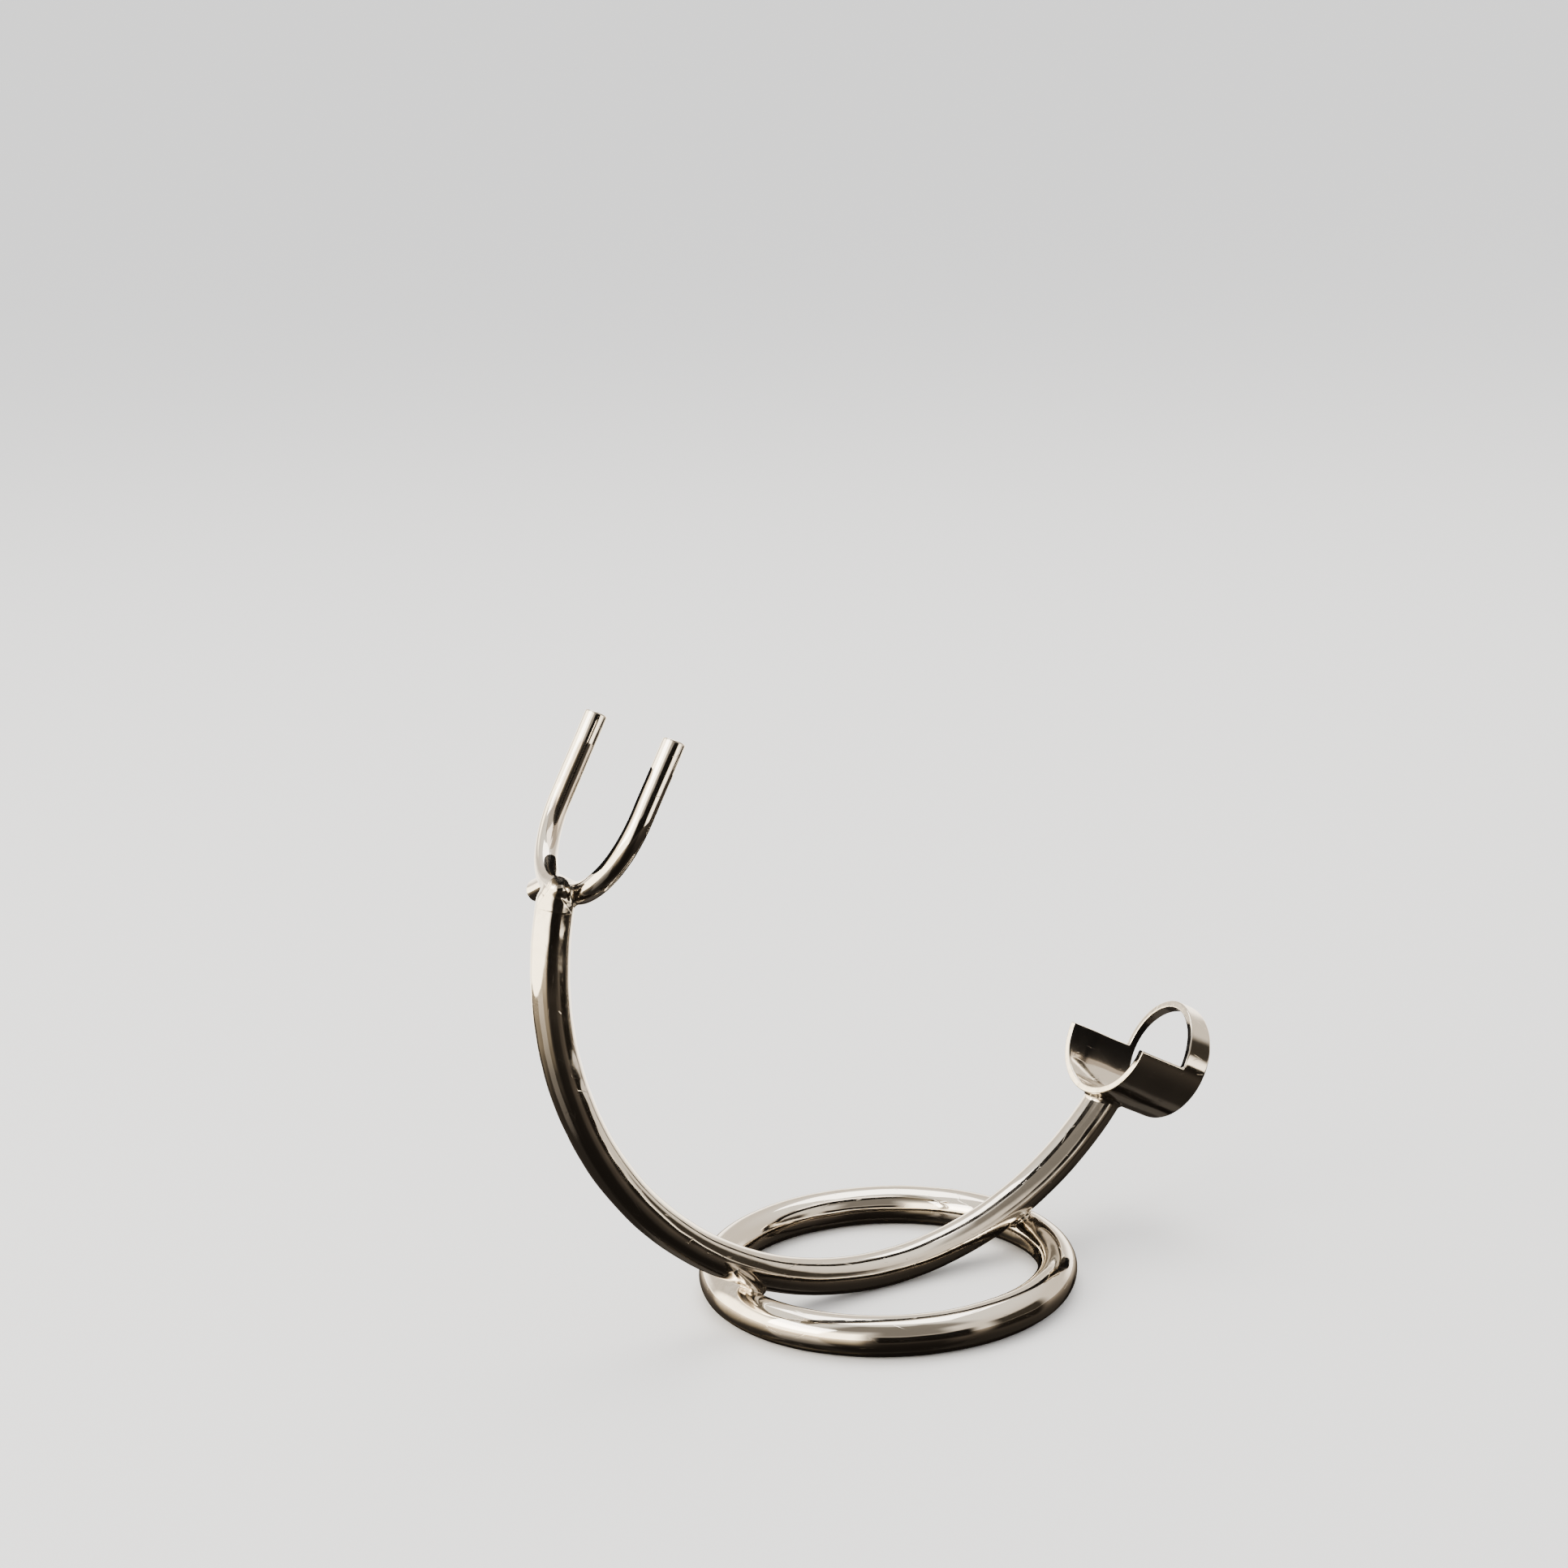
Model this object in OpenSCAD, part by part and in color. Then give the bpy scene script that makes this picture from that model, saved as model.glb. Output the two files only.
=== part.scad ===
// Stand for an open straight razor: a ring base, an upright arc of bar, a two-prong fork and a tail cradle.
// X runs along the arc from the fork side to the cradle side, Y runs across it and Z is up.
// The origin is the centre of the base ring, at table height.

/* [Base ring] */
// Outside diameter of the ring
ring_od = 50.8; // [40:0.1:70]
// Diameter of the ring's round bar
ring_bar_d = 5.3; // [4:0.1:8]
// Depth of the flat worn along the underside of the ring
ring_land = 0.1; // [0.05:0.05:0.3]

/* [Arm] */
// Diameter of the arm's round bar
arm_bar_d = 4.9; // [3.5:0.1:7]
// Radius of the arc, to the middle of the bar
arm_r = 47.75; // [35:0.05:60]
// Gap under the arc's lowest point
arm_lift = 0.07; // [0.02:0.01:0.5]
// Angle of the fork end above the level line through the arc's centre
arm_fork_a = 13.5; // [5:0.5:25]
// Angle of the cradle end below the level line through the arc's centre
arm_cradle_a = 39.5; // [30:0.5:50]

/* [Rest line] */
// Slope of the line on which the razor lies, falling from the fork to the cradle
rest_tilt = 29.2; // [20:0.1:40]

/* [Fork] */
// Diameter of the prong wire
wire_d = 2.9; // [2:0.1:4]
// Distance from the foot of the fork up to the prong tips
fork_h = 21.8; // [15:0.1:30]
// Distance of the fork foot from the arc's centre along X
fork_x = 45.06; // [35:0.02:55]
// Height of the fork foot
fork_z = 62.83; // [50:0.01:75]
// Twist that lets the two wires lie side by side on the arm
fork_twist = 8; // [4:0.5:12]
// Distance from the arc's plane to the middle of the near prong
front_reach = 10.4; // [8:0.1:13]
// Bend radius of the near prong, to the middle of the wire
front_bend_r = 12; // [8:0.1:14]
// Distance from the arc's plane to the middle of the far prong
back_reach = 10.2; // [8:0.1:13]
// Bend radius of the far prong, to the middle of the wire
back_bend_r = 10.5; // [8:0.1:14]
// Length of the far wire past the end of its bend
back_foot = 0.9; // [0.5:0.1:3]
// Level length of the near wire past the end of its bend
front_foot = 7; // [3:0.1:9]
// Angle by which the cut foot of the near wire droops
toe_a = 25.4; // [10:0.1:40]
// Length of the drooping foot
toe_len = 4.1; // [1:0.1:5]
// Depth of the broken edge on the cut ends of the wires
tip_break = 0.25; // [0.1:0.05:0.5]

/* [Cradle] */
// Outside diameter of the tube
cradle_od = 16.6; // [12:0.1:22]
// Wall of the tube
cradle_wall = 1; // [0.6:0.1:2]
// Length of the tube
cradle_len = 12; // [8:0.1:20]
// Distance of the middle of the tube's open end from the arc's centre along X
cradle_x = 36.73; // [30:0.01:45]
// Height of the middle of the tube's open end
cradle_z = 27.91; // [20:0.01:40]
// Distance along the middle of the tube's top to where the full hoop starts
hoop_start = 9.45; // [6:0.05:11]
// Angle by which the edge of the hoop is out of square
hoop_skew = 10.6; // [0:0.1:20]

/* [Weld beads] */
// Radius of the beads where the arm crosses the ring
ring_bead_r = 2.85; // [2:0.05:4]
// Radius of the bead on the fork foot
fork_bead_r = 2.6; // [2:0.05:4]
// Depth of the middle of the fork bead below the middle of the wires
fork_bead_drop = 1.1; // [0:0.05:2]
// Radius of the bead under the cradle
cradle_bead_r = 3.2; // [2.5:0.05:4.5]

/* [Hidden] */
ring_r = (ring_od - ring_bar_d) / 2;
ring_z = ring_bar_d / 2 - ring_land;
arm_z = arm_r + arm_bar_d / 2 + arm_lift;
arm_start = 180 - arm_fork_a;
arm_sweep = 180 + arm_fork_a - arm_cradle_a;
cross_a = atan2(arm_z - ring_z, ring_r);
cross_reach = arm_r + arm_bar_d / 2;
saddle_cut = 0.7;
elbow_swell = 0.06;
over = 20;
bar_fn = 40;
ring_fn = 96;
arm_fn = 120;
wire_fn = 28;
bend_fn = 72;
tube_fn = 72;
bead_fn = 32;

// Plain round bar along an arc in the XZ plane.
module arc_bar(r, d, start, sweep, steps) {
  rotate([90, 0, 0])
    rotate([0, 0, start])
      rotate_extrude(angle = sweep, $fn = steps)
        translate([r, 0])
          circle(d = d, $fn = bar_fn);
}

// Wire along an arc in the YZ plane.
module arc_wire(r, start, sweep) {
  rotate([90, 0, 90])
    rotate([0, 0, start])
      rotate_extrude(angle = sweep, $fn = bend_fn)
        translate([r, 0])
          circle(d = wire_d, $fn = wire_fn);
}

// Straight wire along Z whose far end is cut square with a broken edge.
module cut_wire(len) {
  cylinder(d = wire_d, h = len - tip_break, $fn = wire_fn);
  translate([0, 0, len - tip_break])
    cylinder(d1 = wire_d, d2 = wire_d - 2 * tip_break, h = tip_break, $fn = wire_fn);
}

module ring_bar() {
  translate([0, 0, ring_z])
    rotate_extrude($fn = ring_fn)
      translate([ring_r, 0])
        circle(d = ring_bar_d, $fn = bar_fn);
}

module arm_bar() {
  translate([0, 0, arm_z]) {
    arc_bar(arm_r, arm_bar_d, arm_start, arm_sweep, arm_fn);
    rotate([0, arm_fork_a, 0])
      translate([-arm_r, 0, 0])
        sphere(d = arm_bar_d, $fn = bar_fn);
  }
}

module at_fork() {
  translate([-fork_x, 0, fork_z])
    rotate([0, rest_tilt, 0])
      children();
}

module at_cradle() {
  translate([cradle_x, 0, cradle_z])
    rotate([0, 90 + rest_tilt, 0])
      children();
}

module front_wire() {
  at_fork()
    translate([wire_d / 2, 0, 0])
      rotate([0, 0, -fork_twist]) {
        translate([0, -front_reach, front_bend_r])
          cut_wire(fork_h - front_bend_r);
        translate([0, front_bend_r - front_reach, front_bend_r])
          arc_wire(front_bend_r, 180, 90);
        translate([0, front_bend_r - front_reach, 0])
          rotate([-90, 0, 0])
            cylinder(d = wire_d, h = front_foot, $fn = wire_fn);
        translate([0, front_bend_r - front_reach + front_foot, 0]) {
          sphere(d = wire_d + elbow_swell, $fn = wire_fn);
          rotate([-90 - toe_a, 0, 0])
            cut_wire(toe_len);
        }
      }
}

module back_wire() {
  at_fork()
    translate([-wire_d / 2, 0, 0])
      rotate([0, 0, -fork_twist]) {
        translate([0, back_reach, back_bend_r])
          cut_wire(fork_h - back_bend_r);
        translate([0, back_reach - back_bend_r, back_bend_r])
          arc_wire(back_bend_r, 270, 90);
        translate([0, back_reach - back_bend_r, 0])
          rotate([90, 0, 0])
            cut_wire(back_foot);
      }
}

module base_ring() {
  color([0.8, 0.78, 0.74])
    intersection() {
      ring_bar();
      translate([-ring_od, -ring_od, 0])
        cube([2 * ring_od, 2 * ring_od, over]);
    }
}

module arm() {
  color([0.82, 0.8, 0.76])
    difference() {
      arm_bar();
      at_fork()
        translate([-over, -over, -saddle_cut])
          cube([2 * over, 2 * over, over]);
      front_wire();
      back_wire();
      at_cradle()
        cylinder(d = cradle_od, h = cradle_len, $fn = tube_fn);
    }
}

module fork_front() {
  color([0.86, 0.84, 0.8])
    front_wire();
}

module fork_back() {
  color([0.84, 0.82, 0.78])
    back_wire();
}

module cradle_tube() {
  difference() {
    cylinder(d = cradle_od, h = cradle_len, $fn = tube_fn);
    translate([0, 0, -over])
      cylinder(d = cradle_od - 2 * cradle_wall, h = 3 * over, $fn = tube_fn);
  }
}

// Everything past the hoop's skewed edge, in the cradle's frame.
module past_hoop_edge() {
  translate([0, 0, hoop_start])
    rotate([hoop_skew, 0, 0])
      translate([-over, -over, 0])
        cube([2 * over, 2 * over, over]);
}

module cradle() {
  color([0.78, 0.76, 0.72])
    at_cradle() {
      intersection() {
        cradle_tube();
        past_hoop_edge();
      }
      difference() {
        cradle_tube();
        past_hoop_edge();
        translate([-over, -over, -over])
          cube([over, 2 * over, 3 * over]);
      }
    }
}

// Bead in the crook where the arm crosses the ring; side is -1 at the fork side and 1 at the cradle side.
module ring_bead(side) {
  difference() {
    translate([side * cross_reach * cos(cross_a), 0, arm_z - cross_reach * sin(cross_a)])
      sphere(r = ring_bead_r, $fn = bead_fn);
    ring_bar();
    arm_bar();
  }
}

module weld_front() {
  color([0.74, 0.71, 0.66])
    ring_bead(-1);
}

module weld_rear() {
  color([0.74, 0.71, 0.66])
    ring_bead(1);
}

module weld_fork() {
  color([0.74, 0.71, 0.66])
    difference() {
      at_fork()
        translate([0, 0, -fork_bead_drop])
          sphere(r = fork_bead_r, $fn = bead_fn);
      arm();
      front_wire();
      back_wire();
    }
}

module weld_cradle() {
  color([0.74, 0.71, 0.66])
    difference() {
      translate([0, 0, arm_z])
        rotate([0, arm_cradle_a + 2, 0])
          translate([arm_r, 0, 0])
            sphere(r = cradle_bead_r, $fn = bead_fn);
      arm_bar();
      at_cradle()
        cylinder(d = cradle_od, h = cradle_len, $fn = tube_fn);
    }
}

base_ring();
arm();
fork_front();
fork_back();
cradle();
weld_front();
weld_rear();
weld_fork();
weld_cradle();
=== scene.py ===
import math
import bpy
import numpy as np
from mathutils import Matrix, Vector


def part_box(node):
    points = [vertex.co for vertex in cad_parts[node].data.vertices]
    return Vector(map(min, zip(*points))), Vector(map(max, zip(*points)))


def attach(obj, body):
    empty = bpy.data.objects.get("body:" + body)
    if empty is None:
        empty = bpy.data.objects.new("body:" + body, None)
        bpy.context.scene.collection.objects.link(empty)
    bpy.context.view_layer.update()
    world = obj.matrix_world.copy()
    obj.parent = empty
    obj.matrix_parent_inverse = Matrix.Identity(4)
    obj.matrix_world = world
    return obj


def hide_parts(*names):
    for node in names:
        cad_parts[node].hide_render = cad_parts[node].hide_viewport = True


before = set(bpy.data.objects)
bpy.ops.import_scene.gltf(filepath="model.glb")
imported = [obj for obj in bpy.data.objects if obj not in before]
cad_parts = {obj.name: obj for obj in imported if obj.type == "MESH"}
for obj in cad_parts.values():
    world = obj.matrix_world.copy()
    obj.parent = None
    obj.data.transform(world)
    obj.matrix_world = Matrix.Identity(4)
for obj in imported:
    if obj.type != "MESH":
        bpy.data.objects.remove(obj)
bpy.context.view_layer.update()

MM = 0.001

# ---------------------------------------------------------------- sizes, in millimetres


def box_mm(node):
    """Lowest and highest corners of a CAD node."""
    lo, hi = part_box(node)
    return np.array(lo) / MM, np.array(hi) / MM


ring_lo, ring_hi = box_mm("base_ring")
arm_lo, arm_hi = box_mm("arm")
cradle_lo, cradle_hi = box_mm("cradle")

# The sizes set by number here are the part's own; the rest are read from its nodes' boxes.
# The razor lies on a line that falls from the fork to the cradle.
TILT = math.radians(29.2)
CT, ST = math.cos(TILT), math.sin(TILT)

# Depth of the flat under the ring.
LAND = 0.1
RING_BAR = (ring_hi[2] - ring_lo[2] + LAND) / 2
RING_R = (ring_hi[0] - ring_lo[0]) / 2 - RING_BAR
RING_C = np.array([(ring_hi[0] + ring_lo[0]) / 2, (ring_hi[1] + ring_lo[1]) / 2,
                   ring_hi[2] - RING_BAR])

ARM_BAR = (arm_hi[1] - arm_lo[1]) / 2
ARM_R = -arm_lo[0] - ARM_BAR
ARM_C = np.array([0.0, 0.0, arm_lo[2] + ARM_R + ARM_BAR])
# Polar angles of the arm's two ends, at the fork and at the cradle.
ARM_A0 = math.radians(166.5)
ARM_A1 = math.radians(320.5)

# Wire radius, prong height, fork foot, and the twist that lets the wires lie side by side.
WIRE = 1.45
FORK_H = 21.8
FORK = np.array([-45.06, 0.0, 62.83])
TWIST = math.radians(8.0)

TUBE_R = (cradle_hi[1] - cradle_lo[1]) / 2
TUBE_WALL = 1.0
TUBE_LEN = 12.0
TUBE = np.array([cradle_lo[0] + TUBE_R * ST, (cradle_hi[1] + cradle_lo[1]) / 2,
                 cradle_lo[2] + TUBE_LEN * ST + TUBE_R * CT])
# Where the full hoop starts, and how far its edge leans across the tube.
HOOP = 9.45
SKEW = math.tan(math.radians(10.6))

# The fork's axes: along the rest line, across the arm, and up the prongs.
FORK_X = np.array([CT, 0.0, -ST])
FORK_Z = np.array([ST, 0.0, CT])
AXIS_Y = np.array([0.0, 1.0, 0.0])
# The tube's axis runs down the rest line, and its "down" is square to it.
TUBE_S = np.array([CT, 0.0, -ST])
TUBE_D = np.array([-ST, 0.0, -CT])


def lumps(p, scale, seed, octaves=2):
    """Smooth repeatable unevenness, about -1 to 1, at points p in millimetres."""
    rng = np.random.default_rng(seed)
    out = np.zeros(p.shape[:-1])
    for k in range(octaves):
        for _ in range(5):
            v = rng.normal(size=3)
            v *= (2 ** k) * 2 * math.pi / (scale * np.linalg.norm(v)) * rng.uniform(0.7, 1.3)
            out += np.sin(p @ v + rng.uniform(0, 6.283)) / (5 ** 0.5 * 1.6 ** k)
    return out * 0.7


# ---------------------------------------------------------------- mesh makers


def new_object(name, verts, faces, normals=None, corner=None, point=None):
    """A mesh object from millimetre vertices; corner and point are named attributes."""
    me = bpy.data.meshes.new(name)
    me.from_pydata((np.asarray(verts) * MM).tolist(), [], faces)
    me.validate()
    me.polygons.foreach_set("use_smooth", [True] * len(me.polygons))
    for key, val in (point or {}).items():
        val = np.asarray(val, dtype=np.float32)
        kind = "FLOAT_VECTOR" if val.ndim == 2 else "FLOAT"
        at = me.attributes.new(key, kind, "POINT")
        at.data.foreach_set("vector" if val.ndim == 2 else "value", val.ravel())
    for key, val in (corner or {}).items():
        at = me.attributes.new(key, "FLOAT_VECTOR", "CORNER")
        at.data.foreach_set("vector", np.asarray(val, dtype=np.float32).ravel())
    me.update()
    if normals is not None:
        me.normals_split_custom_set_from_vertices(np.asarray(normals).tolist())
    ob = bpy.data.objects.new(name, me)
    bpy.context.scene.collection.objects.link(ob)
    return ob


def skin(rings, closed=False, poles=(None, None)):
    """Quads between rings (n, m, 3) of vertices; poles close the two ends with fans."""
    n, m = rings.shape[:2]
    verts = rings.reshape(-1, 3).tolist()
    faces = []
    for i in range(n if closed else n - 1):
        a, b = i * m, ((i + 1) % n) * m
        for j in range(m):
            k = (j + 1) % m
            faces.append((a + j, a + k, b + k, b + j))
    if not closed:
        verts.append(list(poles[0]))
        c = len(verts) - 1
        faces += [(c, (j + 1) % m, j) for j in range(m)]
        verts.append(list(poles[1]))
        c = len(verts) - 1
        a = (n - 1) * m
        faces += [(c, a + j, a + (j + 1) % m) for j in range(m)]
    return np.array(verts), faces


def straight(rings_c, s, theta, closed=False, pole_s=(0, 0)):
    """Corner attribute "bar": the place on the bar as if it were straight, with no seam."""
    n, m = rings_c.shape
    out = []
    for i in range(n if closed else n - 1):
        i2 = (i + 1) % n
        s2 = s[i + 1]
        for j in range(m):
            k = (j + 1) % m
            for ii, ss, jj in ((i, s[i], j), (i, s[i], k), (i2, s2, k), (i2, s2, j)):
                r = rings_c[ii, jj]
                out.append((r * math.cos(theta[jj]), r * math.sin(theta[jj]), ss))
    if not closed:
        for j in range(m):
            k = (j + 1) % m
            out.append((0, 0, pole_s[0]))
            for jj in (k, j):
                r = rings_c[0, jj]
                out.append((r * math.cos(theta[jj]), r * math.sin(theta[jj]), s[0]))
        for j in range(m):
            k = (j + 1) % m
            out.append((0, 0, pole_s[1]))
            for jj in (j, k):
                r = rings_c[-1, jj]
                out.append((r * math.cos(theta[jj]), r * math.sin(theta[jj]), s[-1]))
    return out


def surface_nets(f, origin, h):
    """Quads on the zero surface of the grid f, inside negative, from origin in steps of h."""
    inside = f < 0
    corner = [(dx, dy, dz) for dx in (0, 1) for dy in (0, 1) for dz in (0, 1)]
    nx, ny, nz = f.shape
    count = np.zeros((nx - 1, ny - 1, nz - 1), np.int8)
    for dx, dy, dz in corner:
        count += inside[dx:nx - 1 + dx, dy:ny - 1 + dy, dz:nz - 1 + dz]
    act = np.argwhere((count > 0) & (count < 8))
    index = -np.ones(count.shape, np.int64)
    index[tuple(act.T)] = np.arange(len(act))
    total = np.zeros((len(act), 3))
    hits = np.zeros(len(act))
    for a in corner:
        for ax in range(3):
            if a[ax]:
                continue
            b = list(a)
            b[ax] = 1
            fa = f[tuple((act + a).T)]
            fb = f[tuple((act + b).T)]
            cross = (fa < 0) != (fb < 0)
            t = np.where(cross, fa / np.where(cross, fa - fb, 1), 0)
            p = np.tile(np.array(a, float), (len(act), 1))
            p[:, ax] = t
            total[cross] += p[cross]
            hits[cross] += 1
    verts = (act + total / hits[:, None]) * h + origin
    faces = []
    for ax in range(3):
        u, v = (ax + 1) % 3, (ax + 2) % 3
        lo = [slice(None)] * 3
        hi = [slice(None)] * 3
        lo[ax] = slice(0, -1)
        hi[ax] = slice(1, None)
        flip = inside[tuple(lo)] != inside[tuple(hi)]
        e = np.argwhere(flip)
        e = e[(e[:, u] > 0) & (e[:, v] > 0)
              & (e[:, u] < f.shape[u] - 1) & (e[:, v] < f.shape[v] - 1)]
        du = np.zeros(3, int)
        dv = np.zeros(3, int)
        du[u] = 1
        dv[v] = 1
        q = [index[tuple((e - x).T)] for x in (du + dv, dv, 0 * du, du)]
        q = np.stack(q, axis=1)
        out = inside[tuple(e.T)]
        q[~out] = q[~out][:, ::-1]
        faces.append(q)
    return verts, np.concatenate(faces)


def sculpt(name, field, lo, hi, h, to_row=None):
    """A closed mesh on field(p) = 0, with the vertices pulled onto it and its own normals."""
    lo, hi = np.array(lo, float), np.array(hi, float)
    axes = [np.arange(lo[i], hi[i] + h, h) for i in range(3)]
    grid = np.stack(np.meshgrid(*axes, indexing="ij"), axis=-1)
    f = np.empty(grid.shape[:3])
    for i in range(grid.shape[0]):
        f[i] = field(grid[i])
    verts, faces = surface_nets(f, lo, h)

    def slope(p):
        e = 0.01
        g = np.empty_like(p)
        for k in range(3):
            d = np.zeros(3)
            d[k] = e
            g[:, k] = (field(p + d) - field(p - d)) / (2 * e)
        return g

    for _ in range(4):
        g = slope(verts)
        step = (field(verts) / np.maximum((g ** 2).sum(1), 0.2))[:, None] * g
        size = np.linalg.norm(step, axis=1, keepdims=True)
        verts = verts - step * np.minimum(1, 0.3 * h / np.maximum(size, 1e-9))
    n = slope(verts)
    n /= np.maximum(np.linalg.norm(n, axis=1, keepdims=True), 1e-9)
    local = verts
    if to_row is not None:
        verts = verts @ to_row[0] + to_row[1]
        n = n @ to_row[0]
    return new_object(name, verts, faces.tolist(), normals=n, point={"bar": local})


def smin(a, b, k):
    """Smaller of a and b with the crease filled to about k."""
    h = np.maximum(k - np.abs(a - b), 0) / k
    return np.minimum(a, b) - h * h * h * k / 6


def smax(a, b, k):
    """Larger of a and b with the edge rounded to about k."""
    return -smin(-a, -b, k)


# ---------------------------------------------------------------- distances to the bars


def arm_point(al, r, th):
    """Point on the arm at polar angle al, r from the bar's middle, th around it from outwards."""
    rad = ARM_R + r * np.cos(th)
    x = ARM_C[0] + rad * np.cos(al)
    z = ARM_C[2] + rad * np.sin(al)
    y = ARM_C[1] + r * np.sin(th)
    return np.stack(np.broadcast_arrays(x, y, z), axis=-1)


def d_ring(p):
    q = p - RING_C
    return np.hypot(np.hypot(q[..., 0], q[..., 1]) - RING_R, q[..., 2]) - RING_BAR


def d_arm(p):
    q = p - ARM_C
    al = np.mod(np.arctan2(q[..., 2], q[..., 0]), 2 * math.pi)
    al = np.clip(al, ARM_A0, ARM_A1)
    c = arm_point(al, 0.0, 0.0)
    return np.linalg.norm(p - c, axis=-1) - ARM_BAR


def fork_local(p):
    q = p - FORK
    return q @ FORK_X, q[..., 1], q @ FORK_Z


def wire_plane(p, side):
    """(distance off the wire's plane, place along it, height) of points p."""
    x, y, z = fork_local(p)
    x = x - side * WIRE
    c, s = math.cos(TWIST), math.sin(TWIST)
    return x * c - y * s, x * s + y * c, z


def path(parts, step=0.25):
    """Points, tangents and lengths along parts: ("line", p, q) or ("arc", c, r, a0, a1)."""
    pts, tan, lens = [], [], []
    s = 0.0
    for part in parts:
        if part[0] == "line":
            a, b = np.array(part[1], float), np.array(part[2], float)
            length = np.linalg.norm(b - a)
            n = max(2, int(math.ceil(length / step)))
            for i in range(n):
                t = i / n
                pts.append(a + (b - a) * t)
                tan.append((b - a) / length)
                lens.append(s + t * length)
            s += length
            end, etan = b, (b - a) / length
        else:
            _, c, r, a0, a1 = part
            length = abs(a1 - a0) * r
            n = max(4, int(math.ceil(length / step)))
            sg = 1 if a1 > a0 else -1
            for i in range(n):
                al = a0 + (a1 - a0) * i / n
                pts.append(np.array([c[0] + r * math.cos(al), c[1] + r * math.sin(al)]))
                tan.append(np.array([-math.sin(al), math.cos(al)]) * sg)
                lens.append(s + length * i / n)
            s += length
            end = np.array([c[0] + r * math.cos(a1), c[1] + r * math.sin(a1)])
            etan = np.array([-math.sin(a1), math.cos(a1)]) * sg
    pts.append(end)
    tan.append(etan)
    lens.append(s)
    return np.array(pts), np.array(tan), np.array(lens)


# The wires' middle lines, as (across, up). The near wire's cut foot droops past its level part.
FRONT_OUT, FRONT_R, FRONT_FOOT = -10.4, 12.0, 7.0
BACK_OUT, BACK_R, BACK_FOOT = 10.2, 10.5, 0.9
TOE = math.radians(25.4)
TOE_LEN = 4.1
TOE_R = 3.2
toe_t = TOE_R * math.tan(TOE / 2)
front_in = FRONT_OUT + FRONT_R
back_in = BACK_OUT - BACK_R
elbow = front_in + FRONT_FOOT
front_path = [
    ("line", (FRONT_OUT, FORK_H), (FRONT_OUT, FRONT_R)),
    ("arc", (front_in, FRONT_R), FRONT_R, math.pi, 1.5 * math.pi),
    ("line", (front_in, 0.0), (elbow - toe_t, 0.0)),
    ("arc", (elbow - toe_t, -TOE_R), TOE_R, math.pi / 2, math.pi / 2 - TOE),
    ("line", (elbow + toe_t * math.cos(TOE), -toe_t * math.sin(TOE)),
     (elbow + TOE_LEN * math.cos(TOE), -TOE_LEN * math.sin(TOE))),
]
back_path = [
    ("line", (BACK_OUT, FORK_H), (BACK_OUT, BACK_R)),
    ("arc", (back_in, BACK_R), BACK_R, 0.0, -math.pi / 2),
    ("line", (back_in, 0.0), (back_in - BACK_FOOT, 0.0)),
]


def d_polyline(u, q, z, pts):
    """Distance from plane coordinates to a polyline, with u off the plane."""
    best = np.full(q.shape, 1e9)
    for a, b in zip(pts[:-1], pts[1:]):
        d = b - a
        t = np.clip(((q - a[0]) * d[0] + (z - a[1]) * d[1]) / (d @ d), 0, 1)
        best = np.minimum(best, (q - a[0] - t * d[0]) ** 2 + (z - a[1] - t * d[1]) ** 2)
    return np.sqrt(best + u * u) - WIRE


front_coarse = path(front_path, 1.2)[0]
back_coarse = path(back_path, 1.2)[0]


def d_front(p):
    return d_polyline(*wire_plane(p, 1), front_coarse)


def d_back(p):
    return d_polyline(*wire_plane(p, -1), back_coarse)


def tube_local(p):
    """(down, across, along) of points p in the tube's frame."""
    q = p - TUBE
    return q @ TUBE_D, q[..., 1], q @ TUBE_S


# ---------------------------------------------------------------- base ring and arm


def make_ring():
    """The ring of round bar, flattened underneath."""
    n, m = 224, 64
    phi = np.linspace(-math.pi, math.pi, n, endpoint=False)
    th = np.linspace(0, 2 * math.pi, m, endpoint=False)
    P, T = np.meshgrid(phi, th, indexing="ij")
    base = np.stack([RING_R * np.cos(P), RING_R * np.sin(P), 0 * P], -1)
    out = np.stack([np.cos(P) * np.cos(T), np.sin(P) * np.cos(T), np.sin(T)], -1)
    swell = 0.018 * lumps(base + out * RING_BAR, 9.0, 11)
    v = RING_C + base + out * (RING_BAR + swell)[..., None]
    v[..., 2] = np.maximum(v[..., 2], ring_lo[2])
    verts, faces = skin(v, closed=True)
    faces = [f[::-1] for f in faces]
    s = np.append(phi, math.pi) * RING_R
    bar = straight(np.full((n, m), RING_BAR), s, th, closed=True)
    bar = [bar[i + 3 - k] for i in range(0, len(bar), 4) for k in range(4)]
    return new_object("base_ring_bar", verts, faces, corner={"bar": bar},
                      point={"near": nearness(verts, ring_spots)})


def nearness(p, spots, reach=3.0):
    """1 at the fused spots, fading to 0 a few millimetres away."""
    p = np.asarray(p)
    out = np.zeros(len(p))
    for c, r in spots:
        d = np.maximum(np.linalg.norm(p - c, axis=1) - r, 0)
        out = np.maximum(out, np.exp(-d / reach))
    return out


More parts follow.
